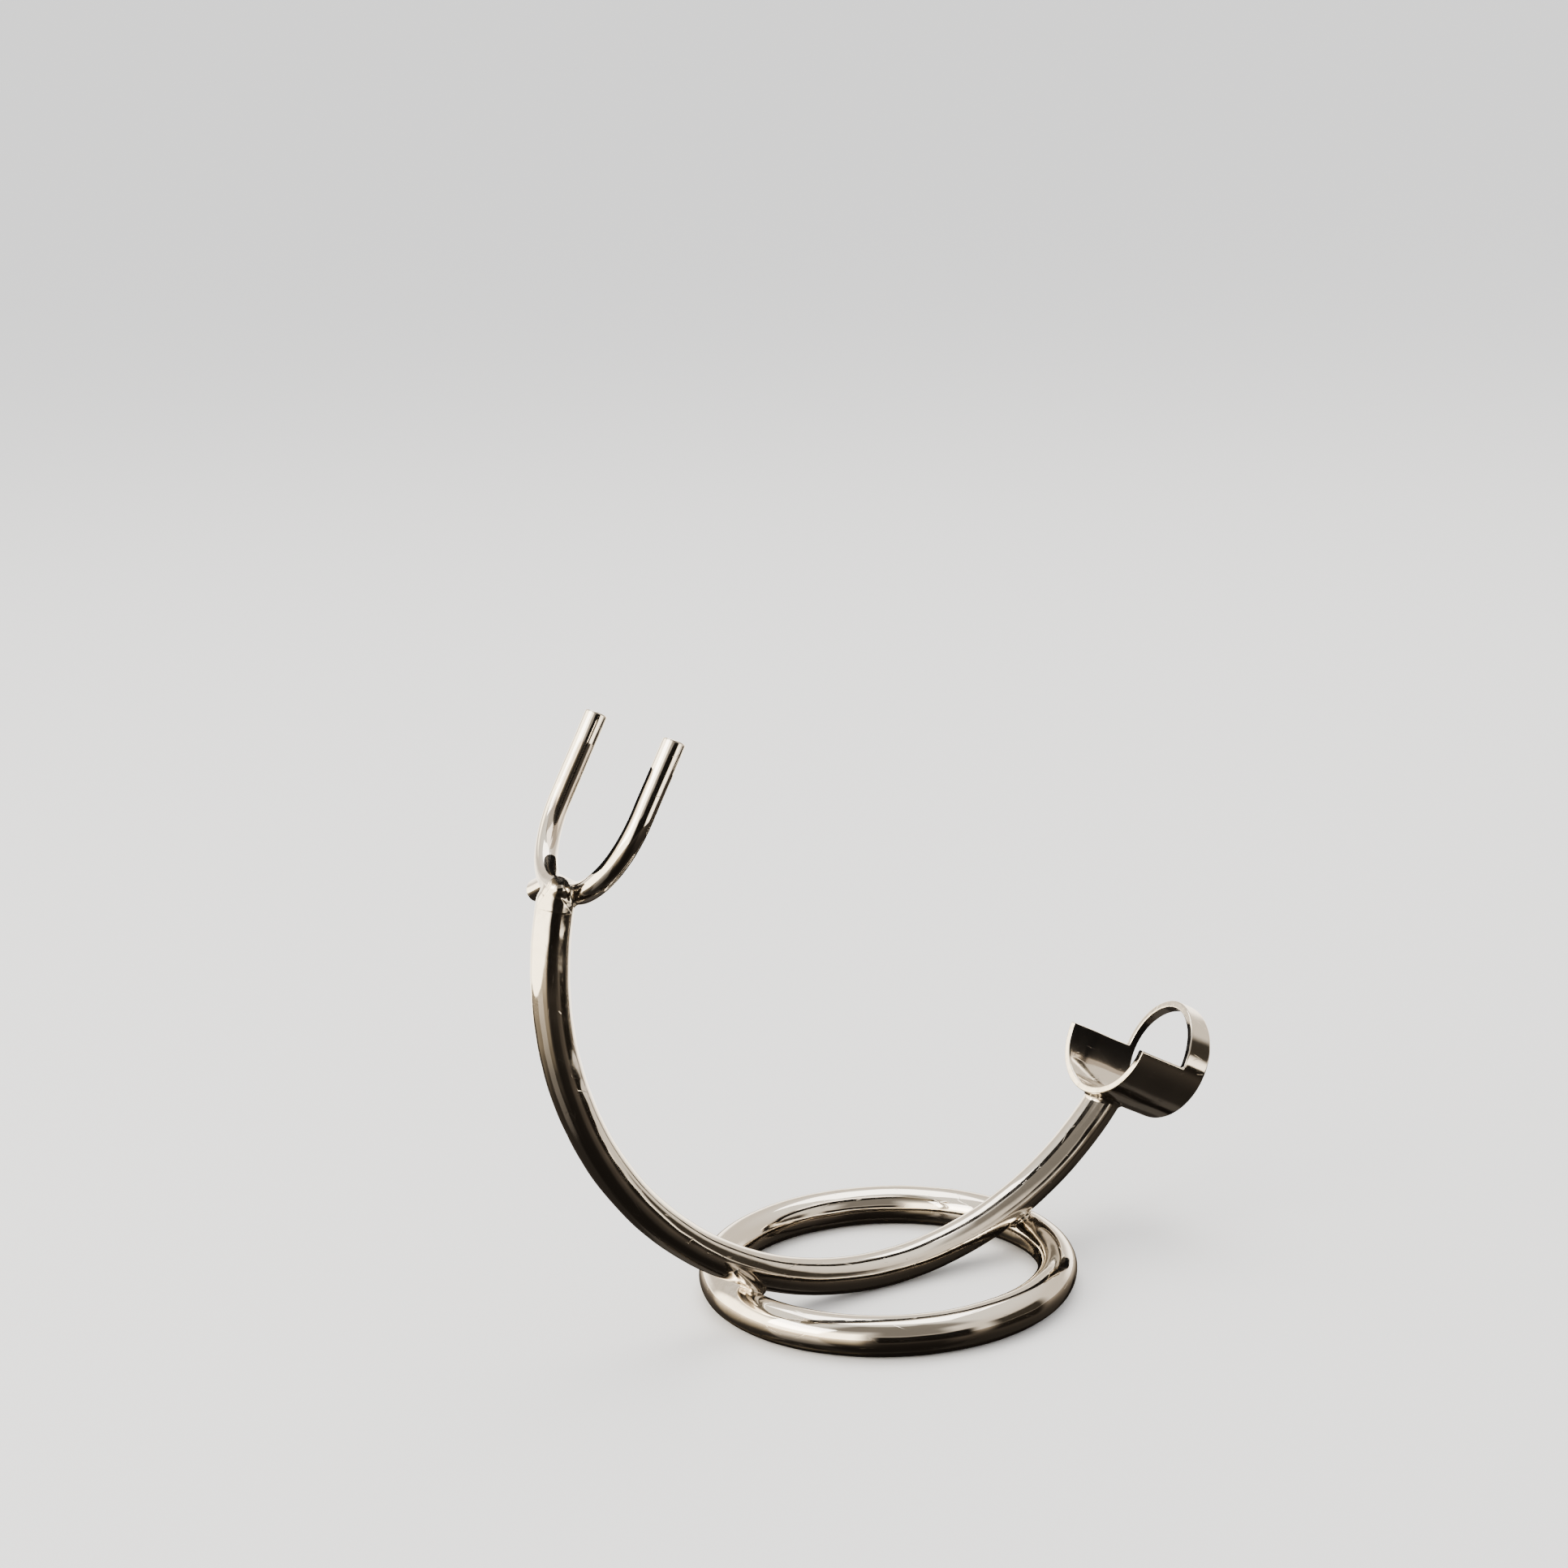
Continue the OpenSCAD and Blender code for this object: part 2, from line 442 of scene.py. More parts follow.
# The fused spots: on the ring at the front and the rear, under the fork and under the cradle.
cross = math.atan2(ARM_C[2] - RING_C[2], RING_R)
skin_r = ARM_R + ARM_BAR
SPOT_F = np.array([-skin_r * math.cos(cross), 0, ARM_C[2] - skin_r * math.sin(cross)])
SPOT_R = SPOT_F * np.array([-1, 1, 1])
SPOT_K = FORK - 1.1 * FORK_Z
BEAD_K = FORK - 0.9 * FORK_Z
a_end = ARM_A1 - math.radians(2)
SPOT_C = ARM_C + ARM_R * np.array([math.cos(a_end), 0, math.sin(a_end)])
ring_spots = [(SPOT_F, 2.5), (SPOT_R, 2.5)]
arm_spots = ring_spots + [(SPOT_K, 2.5), (SPOT_C, 2.5)]


def make_arm():
    """The arc of round bar, with a ball end at the fork and an end sunk in the tube's wall."""
    m = 64
    th = np.linspace(0, 2 * math.pi, m, endpoint=False)

    def stop(r):
        """Polar angle at which each line along the bar sinks 0.35 mm into the tube's wall."""
        lo = np.full(m, ARM_A1 - math.radians(12))
        hi = np.full(m, ARM_A1 + math.radians(4))
        for _ in range(40):
            mid = (lo + hi) / 2
            d, a, _s = tube_local(arm_point(mid, r, th))
            deep = np.hypot(d, a) < TUBE_R - 0.35
            hi = np.where(deep, mid, hi)
            lo = np.where(deep, lo, mid)
        return lo

    rings, rad, ss = [], [], []
    # ball end under the wires
    for k in range(1, 12):
        b = math.pi / 2 * k / 12
        c = arm_point(np.array(ARM_A0), 0.0, 0.0)
        t = np.array([math.sin(ARM_A0), 0, -math.cos(ARM_A0)])
        o = arm_point(np.full(m, ARM_A0), ARM_BAR * math.sin(b), th)
        rings.append(o + t * ARM_BAR * math.cos(b))
        rad.append(np.full(m, ARM_BAR * math.sin(b)))
        ss.append(-ARM_BAR * math.cos(b))
    top = rings[0].mean(0) + t * 0.02
    a1 = stop(ARM_BAR)
    n = 230
    for i in range(n + 1):
        al = ARM_A0 + (a1 - ARM_A0) * i / n
        p0 = arm_point(al, ARM_BAR, th)
        sw = 0.02 * lumps(p0, 8.0, 21) + 0.004 * lumps(p0, 2.5, 22)
        rings.append(arm_point(al, ARM_BAR + sw, th))
        rad.append(np.full(m, ARM_BAR))
        ss.append(ARM_R * (ARM_A1 - ARM_A0) * i / n)
    for k in (0.8, 0.55, 0.3):
        rings.append(arm_point(stop(ARM_BAR * k), ARM_BAR * k, th))
        rad.append(np.full(m, ARM_BAR * k))
        ss.append(ss[-1])
    low = arm_point(stop(0.01), 0.01, th).mean(0)
    v = np.array(rings)
    verts, faces = skin(v, poles=(top, low))
    bar = straight(np.array(rad), ss, th, pole_s=(-ARM_BAR, ss[-1]))
    return new_object("arm_bar", verts, faces, corner={"bar": bar},
                      point={"near": nearness(verts, arm_spots)})


# ---------------------------------------------------------------- prong wires


def make_wire(name, parts, side, seed):
    """One prong wire; side is 1 for the near one, which lies further down the rest line."""
    m = 48
    th = np.linspace(0, 2 * math.pi, m, endpoint=False)
    pts, tan, lens = path(parts, 0.22)
    edge = 0.16
    rings, rad, ss, worn = [], [], [], []

    def ring(p, t, s, r, w, tilt=0.0):
        nrm = np.array([-t[1], t[0]])
        off = tilt * r * np.cos(th)
        q = p[0] + nrm[0] * r * np.cos(th) + t[0] * off
        z = p[1] + nrm[1] * r * np.cos(th) + t[1] * off
        c, sn = math.cos(TWIST), math.sin(TWIST)
        u = r * np.sin(th)
        x = side * WIRE + q * sn + u * c
        y = q * c - u * sn
        rings.append(FORK + np.outer(x, FORK_X) + np.outer(y, AXIS_Y) + np.outer(z, FORK_Z))
        rad.append(r * np.ones(m))
        ss.append(s)
        worn.append(w)

    def end(p, t, s, sign, tilt):
        """Cut face with a softened edge. sign is -1 at the start and 1 at the end."""
        prof = [(0.35, 0.0), (0.7, 0.0), (0.9, 0.0)]
        prof = [(k * (WIRE - edge), d) for k, d in prof]
        for k in range(7):
            b = math.pi / 2 * k / 6
            prof.append((WIRE - edge + edge * math.sin(b), edge * (1 - math.cos(b))))
        rows = [(r, d, 1.0 if r > WIRE - 1.2 * edge else 0.6) for r, d in prof]
        rows.append((WIRE, edge * 1.6, 0.6))
        rows.append((WIRE, edge * 2.6, 0.3))
        if sign > 0:
            rows = rows[::-1]
        for r, d, w in rows:
            ring(p - sign * t * d, t, s - sign * d, r, w, tilt * max(0.0, 1 - d / (3 * edge)))

    end(pts[0], tan[0], 0.0, -1, 0.10)
    keep = (lens > edge * 3.6) & (lens < lens[-1] - edge * 3.6)
    for p, t, s in zip(pts[keep], tan[keep], lens[keep]):
        ring(p, t, s, WIRE, 0.0)
    end(pts[-1], tan[-1], lens[-1], 1, -0.12)
    v = np.array(rings)
    mid = v.mean(1, keepdims=True)
    d = (v - mid)
    size = np.linalg.norm(d, axis=-1, keepdims=True)
    sw = 0.012 * lumps(v, 6.0, seed) + 0.002 * lumps(v, 1.8, seed + 1)
    v = v + d / np.maximum(size, 1e-6) * (sw * np.minimum(1, size[..., 0] / WIRE))[..., None]
    p0 = v[0].mean(0)
    p1 = v[-1].mean(0)
    verts, faces = skin(v, poles=(p0, p1))
    bar = straight(np.array(rad), ss, th, pole_s=(0.0, lens[-1]))
    w = np.repeat(np.array(worn), m).tolist() + [0.6, 0.6]
    return new_object(name, verts, faces, corner={"bar": bar},
                      point={"near": nearness(verts, [(SPOT_K, 3.0)], 2.0), "worn": w})


# ---------------------------------------------------------------- cradle


def cradle_field(p):
    """The half tube with its hoop, in the tube's frame: p = (down, across, along)."""
    d, a, s = p[..., 0], p[..., 1], p[..., 2]
    rho = np.hypot(d, a)
    shape = (rho - 0.012 * np.sin(3 * np.arctan2(a, d) + 0.35 * s)
             - 0.010 * np.sin(0.9 * s + 1.0))
    wall = np.abs(shape - (TUBE_R - TUBE_WALL / 2)) - TUBE_WALL / 2
    lower = -d + 0.02 * np.sin(0.9 * s + np.sign(a))
    start = HOOP + a * SKEW + 0.05 * np.sin(0.45 * a + 0.8)
    hoop = (start - s) / math.hypot(1, SKEW)
    keep = smin(lower, hoop, 0.4)
    ends = np.maximum(-s + 0.02 * np.sin(0.7 * a), s - TUBE_LEN)
    return smax(wall, smax(keep, ends, 0.2), 0.32)


def make_cradle():
    """The tube, with its worn rims and the haze beside its weld as attributes."""
    r = TUBE_R + 0.4
    to_row = (np.stack([TUBE_D, AXIS_Y, TUBE_S]), TUBE)
    ob = sculpt("cradle_tube", cradle_field, (-r, -r, -0.4), (r, r, TUBE_LEN + 0.4), 0.15, to_row)
    me = ob.data
    n = len(me.vertices)
    co = np.empty(n * 3)
    me.vertices.foreach_get("co", co)
    local = np.stack(tube_local(co.reshape(-1, 3) / MM), -1)
    d, a, s = local.T
    rho = np.hypot(d, a)
    rim = np.minimum(np.minimum(s, TUBE_LEN - s), 9.0)
    start = HOOP + a * SKEW
    cut = np.where(d > 0, np.where(s < start, np.abs(d), 9.0), np.abs(s - start))
    rim = np.minimum(rim, cut)
    at = me.attributes.new("worn", "FLOAT", "POINT")
    at.data.foreach_set("value", np.exp(-(rim / 0.35) ** 2).astype(np.float32))
    at = me.attributes.new("near", "FLOAT", "POINT")
    near = nearness(co.reshape(-1, 3) / MM, [(SPOT_C, 3.4)], 1.5)
    at.data.foreach_set("value", near.astype(np.float32))
    return ob


# ---------------------------------------------------------------- fused beads


def ball(p, c, r):
    """Distance to a ball."""
    return np.linalg.norm(p - c, axis=-1) - r


# How far the beads' skin lies inside the bars away from the fillets.
SINK = 0.05


def rod(p, start, end, r):
    """Distance to a round-ended rod."""
    along = end - start
    t = np.clip((p - start) @ along / (along @ along), 0, 1)
    return np.linalg.norm(p - start - t[..., None] * along, axis=-1) - r


def bead_ring(c, seed, fill, runs=()):
    """Fillet between the ring and the arm about c, with runs of metal that stand proud of it."""
    def field(p):
        f = smin(d_ring(p) + SINK, d_arm(p) + SINK, fill)
        for start, end, r in runs:
            f = smin(f, rod(p, np.array(start), np.array(end), r), 0.5)
        away = np.linalg.norm(p - c, axis=-1)
        f = f - 0.015 * np.clip(1.25 - away / 4.6, 0, 1) * lumps(p, 3.0, seed, 2)
        f = f + (1 - np.clip(1.6 - away / 4.2, 0, 1)) * 0.35
        return smax(f, ball(p, c, 5.6), 0.5)
    return field


# The arm's end rises to a point on its outer, near side, beside the wires.
END_P = ARM_C + ARM_R * np.array([math.cos(ARM_A0), 0, math.sin(ARM_A0)])
END_T = np.array([math.sin(ARM_A0), 0, -math.cos(ARM_A0)])
END_N = np.array([math.cos(ARM_A0), 0, math.sin(ARM_A0)])
LIP_H = 2.5
LIP_AT = math.radians(-44)


def arm_lip(p):
    """The raised rim that stands on the arm's end."""
    q = p - END_P
    t, n, y = q @ END_T, q @ END_N, q[..., 1]
    turn = np.arctan2(y, n) - LIP_AT
    top = LIP_H - np.where(turn > 0, 3.9, 2.4) * np.abs(turn)
    wall = np.abs(np.hypot(n, y) - 1.95) - 0.52
    return smax(wall, smax((t - top) / 1.9, -t - 0.8, 0.1), 0.22)


def bead_fork(p):
    """Metal that holds both wires on the arm's end."""
    c = BEAD_K
    f = smin(smin(d_front(p) + SINK, d_back(p) + SINK, 0.9), d_arm(p) + SINK, 1.2)
    f = smin(f, arm_lip(p), 0.25)
    away = np.linalg.norm(p - c, axis=-1)
    f = f - 0.02 * np.clip(1.3 - away / 4.4, 0, 1) * lumps(p, 2.4, 51, 2)
    f = f + (1 - np.clip(1.75 - away / 4.2, 0, 1)) * 0.35
    return smax(f, ball(p, c, 5.4), 0.5)


def bead_cradle(p):
    """Fillet between the arm and the tube, kept out of the tube's bore and open end."""
    d, a, s = tube_local(p)
    tube = np.hypot(d, a) - TUBE_R
    c = SPOT_C
    f = smin(d_arm(p) + SINK, tube + SINK, 1.7)
    away = np.linalg.norm(p - c, axis=-1)
    fade = np.clip(1.3 - away / 4.0, 0, 1)
    f = f - 0.04 * fade * lumps(p, 2.2, 61, 2)
    f = f + (1 - np.clip(1.6 - away / 4.0, 0, 1)) * 0.35
    f = smax(f, -(np.hypot(d, a) - (TUBE_R - 0.5)), 0.3)
    f = smax(f, 0.35 - s, 0.3)
    return smax(f, ball(p, c, 5.2), 0.5)


BEAD_BOX = 6.0
BEAD_STEP = 0.13


def make_bead(name, field, c):
    return sculpt(name, field, c - BEAD_BOX, c + BEAD_BOX, BEAD_STEP)


# ---------------------------------------------------------------- materials


def chrome(name, tint, dull, rough, wave, lines, pit, seed, bead=False):
    """Plated metal.

    tint and dull are its clean and hazed colours and rough its least roughness. wave scales the
    slow relief, lines the polishing lines, and pit is the share of cells that hold a pit.
    """
    mat = bpy.data.materials.new(name)
    mat.use_nodes = True
    nt = mat.node_tree
    nt.nodes.clear()
    col = [0]

    def node(kind, **kw):
        n = nt.nodes.new(kind)
        n.location = (col[0] * 180, 0)
        col[0] += 1
        for k, v in kw.items():
            setattr(n, k, v)
        return n

    def link(a, b):
        nt.links.new(a, b)

    def math_node(op, a, b):
        n = node("ShaderNodeMath", operation=op)
        for k, v in enumerate((a, b)):
            if isinstance(v, (int, float)):
                n.inputs[k].default_value = v
            else:
                link(v, n.inputs[k])
        return n.outputs[0]

    def scaled(src, sx, sy, sz, off):
        n = node("ShaderNodeMapping")
        n.inputs["Location"].default_value = (off, off * 0.7, off * 0.3)
        n.inputs["Scale"].default_value = (sx, sy, sz)
        link(src, n.inputs["Vector"])
        return n.outputs[0]

    def noise(src, scale, detail=2.0, rough_=0.5, dist=0.0):
        n = node("ShaderNodeTexNoise")
        n.inputs["Scale"].default_value = scale
        n.inputs["Detail"].default_value = detail
        n.inputs["Roughness"].default_value = rough_
        n.inputs["Distortion"].default_value = dist
        link(src, n.inputs["Vector"])
        return n.outputs["Fac"]

    def ramp(src, a, b, lo=0.0, hi=1.0):
        n = node("ShaderNodeMapRange", clamp=True)
        n.inputs["From Min"].default_value = a
        n.inputs["From Max"].default_value = b
        n.inputs["To Min"].default_value = lo
        n.inputs["To Max"].default_value = hi
        link(src, n.inputs["Value"])
        return n.outputs["Result"]

    coords = node("ShaderNodeTexCoord").outputs["Object"]
    body = scaled(coords, 1000, 1000, 1000, seed * 3.1)
    bar = node("ShaderNodeAttribute", attribute_name="bar").outputs["Vector"]

    # haze left by handling and by the plating bath
    haze = ramp(noise(body, 0.22, 4, 0.6, 1.2), 0.46, 0.72)
    # faint lines from drawing and polishing, along the bar
    drawn = noise(scaled(bar, 5.5, 5.5, 0.11, seed), 1.0, 4, 0.65)
    hair = ramp(drawn, 0.60, 0.72)
    # stray hairline scratches
    vor = node("ShaderNodeTexVoronoi", feature="DISTANCE_TO_EDGE")
    vor.inputs["Scale"].default_value = 1.0
    link(scaled(bar, 0.55, 0.42, 0.16, seed * 1.7), vor.inputs["Vector"])
    thin = ramp(vor.outputs["Distance"], 0.0, 0.012, 1.0, 0.0)
    few = ramp(noise(body, 0.45, 2), 0.54, 0.62)
    scratch = math_node("MULTIPLY", thin, few)
    # pits
    vp = node("ShaderNodeTexVoronoi", feature="F1")
    vp.inputs["Scale"].default_value = 0.62
    link(body, vp.inputs["Vector"])
    spot = ramp(vp.outputs["Distance"], 0.05, 0.11, 1.0, 0.0)
    sep = node("ShaderNodeSeparateColor")
    link(vp.outputs["Color"], sep.inputs[0])
    rare = math_node("GREATER_THAN", sep.outputs[0], 1 - pit)
    pits = math_node("MULTIPLY", spot, rare)

    # colour
    tone = ramp(noise(body, 0.07, 3, 0.5), 0.35, 0.65)
    mix = node("ShaderNodeMix", data_type="RGBA")
    mix.inputs["A"].default_value = (*tint, 1)
    mix.inputs["B"].default_value = (*dull, 1)
    cloud = math_node("MULTIPLY", haze, 0.45)
    link(math_node("MAXIMUM", cloud, math_node("MULTIPLY", tone, 0.35)), mix.inputs["Factor"])
    colour = mix.outputs["Result"]
    # base metal and grime: along worn edges, in pits, round the beads
    worn = node("ShaderNodeAttribute", attribute_name="worn").outputs["Fac"]
    near = node("ShaderNodeAttribute", attribute_name="near").outputs["Fac"]
    patchy = ramp(noise(body, 1.3, 3, 0.6), 0.42, 0.62)
    edge = math_node("MULTIPLY", worn, patchy)
    soot = math_node("MULTIPLY", near, ramp(noise(body, 0.8, 4, 0.6), 0.46, 0.66))
    soot = math_node("MULTIPLY", soot, 0.55)
    grime = math_node("MAXIMUM", soot, math_node("MULTIPLY", pits, 0.85))
    m2 = node("ShaderNodeMix", data_type="RGBA")
    m2.inputs["B"].default_value = (0.66, 0.585, 0.47, 1)
    link(colour, m2.inputs["A"])
    link(math_node("MULTIPLY", edge, 0.6), m2.inputs["Factor"])
    m3 = node("ShaderNodeMix", data_type="RGBA")
    m3.inputs["B"].default_value = (0.30, 0.26, 0.21, 1)
    link(m2.outputs["Result"], m3.inputs["A"])
    link(math_node("MULTIPLY", grime, 0.7), m3.inputs["Factor"])
    colour = m3.outputs["Result"]
    if bead:
        crust = ramp(noise(body, 1.1, 4, 0.62), 0.52, 0.70)
        m4 = node("ShaderNodeMix", data_type="RGBA")
        m4.inputs["B"].default_value = (0.42, 0.36, 0.29, 1)
        link(colour, m4.inputs["A"])
        link(math_node("MULTIPLY", crust, 0.3), m4.inputs["Factor"])
        colour = m4.outputs["Result"]

    # roughness
    r = math_node("ADD", math_node("MULTIPLY", haze, 0.07), rough)
    r = math_node("ADD", r, math_node("MULTIPLY", hair, 0.035 * lines))
    r = math_node("ADD", r, math_node("MULTIPLY", scratch, 0.16))
    r = math_node("ADD", r, math_node("MULTIPLY", edge, 0.16))
    r = math_node("ADD", r, math_node("MULTIPLY", grime, 0.22))
    if bead:
        r = math_node("ADD", r, math_node("MULTIPLY", crust, 0.08))
    r = math_node("MINIMUM", r, 0.6)

    # relief, in metres
    def bump(height, depth, after=None):
        n = node("ShaderNodeBump")
        n.inputs["Strength"].default_value = 1.0
        n.inputs["Distance"].default_value = depth
        link(height, n.inputs["Height"])
        if after is not None:
            link(after, n.inputs["Normal"])
        return n.outputs["Normal"]

    nrm = bump(noise(scaled(body, 1, 1, 1, 7.7 + seed), 0.16, 2, 0.4), 3.0e-5 * wave)
    nrm = bump(noise(body, 0.5, 2, 0.5), 1.6e-6 * wave, nrm)
    nrm = bump(drawn, 0.5e-6 * lines, nrm)
    nrm = bump(math_node("ADD", scratch, pits), -7.0e-6, nrm)
    if bead:
        nrm = bump(noise(body, 1.2, 2, 0.5), 3.5e-6, nrm)

    bsdf = node("ShaderNodeBsdfPrincipled")
    bsdf.inputs["Metallic"].default_value = 1.0
    link(colour, bsdf.inputs["Base Color"])
    link(r, bsdf.inputs["Roughness"])
    link(nrm, bsdf.inputs["Normal"])
    out = node("ShaderNodeOutputMaterial")
    link(bsdf.outputs[0], out.inputs["Surface"])
    return mat


CLEAN = (0.79, 0.735, 0.655)
DULL = (0.69, 0.63, 0.55)
mat_ring = chrome("chrome_ring", CLEAN, DULL, 0.045, 1.0, 1.0, 0.05, 1)
mat_arm = chrome("chrome_arm", CLEAN, DULL, 0.05, 1.2, 1.2, 0.05, 2)
mat_wire = chrome("chrome_wire", (0.81, 0.755, 0.68), DULL, 0.05, 0.8, 1.3, 0.03, 3)
mat_tube = chrome("chrome_tube", CLEAN, (0.67, 0.61, 0.53), 0.07, 1.6, 0.9, 0.05, 4)
mat_bead = chrome("chrome_weld", (0.77, 0.71, 0.625), (0.63, 0.56, 0.47), 0.08, 1.5, 0.4, 0.10, 5,
                  bead=True)

# ---------------------------------------------------------------- build


def place(ob, node_name, mat):
    ob.data.materials.append(mat)
    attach(ob, "root")
    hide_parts(node_name)


place(make_ring(), "base_ring", mat_ring)
place(make_arm(), "arm", mat_arm)
place(make_wire("fork_front_wire", front_path, 1, 31), "fork_front", mat_wire)
place(make_wire("fork_back_wire", back_path, -1, 41), "fork_back", mat_wire)
place(make_cradle(), "cradle", mat_tube)
# One run of metal down the near side of the front weld: start, end and radius.
front_run = ((-25.3, -2.0, 9.6), (-20.6, -1.35, 4.9), 0.9)
beads = [
    ("weld_front", bead_ring(SPOT_F, 71, 1.1, [front_run]), SPOT_F),
    ("weld_rear", bead_ring(SPOT_R, 81, 1.9), SPOT_R),
    ("weld_fork", bead_fork, BEAD_K),
    ("weld_cradle", bead_cradle, SPOT_C),
]
for node_name, field, c in beads:
    place(make_bead(node_name + "_bead", field, c), node_name, mat_bead)

# ---------------------------------------------------------------- floor, studio and light

# The camera's place, and the level directions towards it and to the right of it.
CAM = Vector((-0.20347, -0.32725, 0.16267))
TOWARD = Vector((-0.5280, -0.8492, 0))
RIGHT = Vector((0.8492, -0.5280, 0))

FLOOR = (0.80, 0.79, 0.775)
# Light on the floor, in linear colour.
FLOOR_SKY = (1.75, 1.76, 1.78)
floor_mat = bpy.data.materials.new("floor")
floor_mat.use_nodes = True
fb = floor_mat.node_tree.nodes["Principled BSDF"]
fb.inputs["Base Color"].default_value = (*FLOOR, 1)
fb.inputs["Roughness"].default_value = 0.9
fb.inputs["Specular IOR Level"].default_value = 0.0
HALF = 30
me = bpy.data.meshes.new("floor")
me.from_pydata([(-HALF, -HALF, 0), (HALF, -HALF, 0), (HALF, HALF, 0), (-HALF, HALF, 0)], [],
               [(0, 1, 2, 3)])
me.materials.append(floor_mat)
floor = bpy.data.objects.new("floor", me)
floor.visible_glossy = False
bpy.context.scene.collection.objects.link(floor)


class Graph:
    """Node maths on colours, which works in the world's tree and in a material's."""

    def __init__(self, tree):
        self.tree = tree

    def new(self, kind, **kw):
        n = self.tree.nodes.new(kind)
        for k, v in kw.items():
            setattr(n, k, v)
        return n

    def feed(self, value, socket):
        if isinstance(value, bpy.types.NodeSocket):
            self.tree.links.new(value, socket)
        else:
            socket.default_value = (*value, 1) if isinstance(value, tuple) else value

    def along(self, point, axis):
        n = self.new("ShaderNodeVectorMath", operation="DOT_PRODUCT")
        self.feed(point, n.inputs[0])
        n.inputs[1].default_value = axis
        return n.outputs["Value"]

    def maths(self, op, x, y):
        n = self.new("ShaderNodeMath", operation=op)
        self.feed(x, n.inputs[0])
        self.feed(y, n.inputs[1])
        return n.outputs[0]

    def step(self, src, start, end):
        n = self.new("ShaderNodeMapRange", interpolation_type="SMOOTHSTEP")
        n.inputs["From Min"].default_value = start
        n.inputs["From Max"].default_value = end
        self.feed(src, n.inputs["Value"])
        return n.outputs["Result"]

    def blend(self, under, over, amount):
        n = self.new("ShaderNodeMix", data_type="RGBA")
        self.feed(under, n.inputs["A"])
        self.feed(over, n.inputs["B"])
        self.feed(amount, n.inputs["Factor"])
        return n.outputs["Result"]


def bearing(angle):
    """Level direction, in degrees from the camera's side, positive to the right of it."""
    return math.cos(math.radians(angle)) * TOWARD + math.sin(math.radians(angle)) * RIGHT


world = bpy.data.worlds.new("studio")
world.use_nodes = True
g = Graph(world.node_tree)
way = g.new("ShaderNodeTexCoord").outputs["Generated"]
height = g.along(way, (0, 0, 1))
# Level part of the direction. The spare 0.0001 keeps it off zero straight up.
level = g.maths("SQRT", g.maths("SUBTRACT", 1.0001, g.maths("MULTIPLY", height, height)), 0.0)


def lobe(angle, narrow, wide):
    """1 within narrow degrees of a bearing, falling to 0 at wide degrees."""
    facing = g.maths("DIVIDE", g.along(way, bearing(angle)), level)
    return g.step(facing, math.cos(math.radians(wide)), math.cos(math.radians(narrow)))


def band(low0, low1, high1, high0):
    """1 between two heights of the direction, falling to 0 outside them."""
    return g.maths("MULTIPLY", g.step(height, low0, low1), g.step(height, high0, high1))


def patch(under, colour, around, between):
    """Lay a patch of colour over the sky, around a bearing and between heights."""
    return g.blend(under, colour, g.maths("MULTIPLY", lobe(*around), band(*between)))


# The tones and places were fitted to the reflections in the photograph, from its own view.
sky = g.blend((1.25, 1.11, 0.93), (1.55, 1.46, 1.30), g.step(height, 0.45, 0.85))
sky = patch(sky, (4.2, 3.7, 2.9), (-85, 55, 72), (-0.6, -0.4, -0.02, 0.06))
sky = patch(sky, (6.6, 5.8, 4.3), (-70, 47, 58), (-0.5, -0.3, 0.42, 0.60))
sky = patch(sky, (4.2, 3.7, 2.9), (62, 8, 26), (-0.6, -0.4, -0.12, 0.0))
sky = patch(sky, (0.055, 0.046, 0.034), (84, 14, 26), (-0.06, 0.0, 0.34, 0.48))
sky = patch(sky, (4.2, 3.8, 3.2), (180, 20, 55), (-0.5, -0.3, 0.1, 0.3))
sky = patch(sky, (0.30, 0.27, 0.23), (5, 42, 65), (0.55, 0.75, 0.95, 0.99))
sky = patch(sky, (0.27, 0.245, 0.21), (14, 16, 30), (0.26, 0.38, 0.80, 0.95))
sky = patch(sky, (0.0135, 0.0115, 0.0095), (20, 25, 35), (-0.98, -0.94, 0.24, 0.36))
# Only the metal sees the studio. The camera and the floor get an even pale grey, in the
# floor's own tone.
ray = g.new("ShaderNodeLightPath")
floor_tone = tuple(a * b for a, b in zip(FLOOR_SKY, FLOOR))
pale = g.blend(FLOOR_SKY, floor_tone, ray.outputs["Is Camera Ray"])
surround = g.blend(pale, sky, ray.outputs["Is Glossy Ray"])
bg = world.node_tree.nodes["Background"]
g.feed(surround, bg.inputs["Color"])
bg.inputs["Strength"].default_value = 1.0
bpy.context.scene.world = world

# A dark table and a dark slab in the razor's place. Only reflections see them.


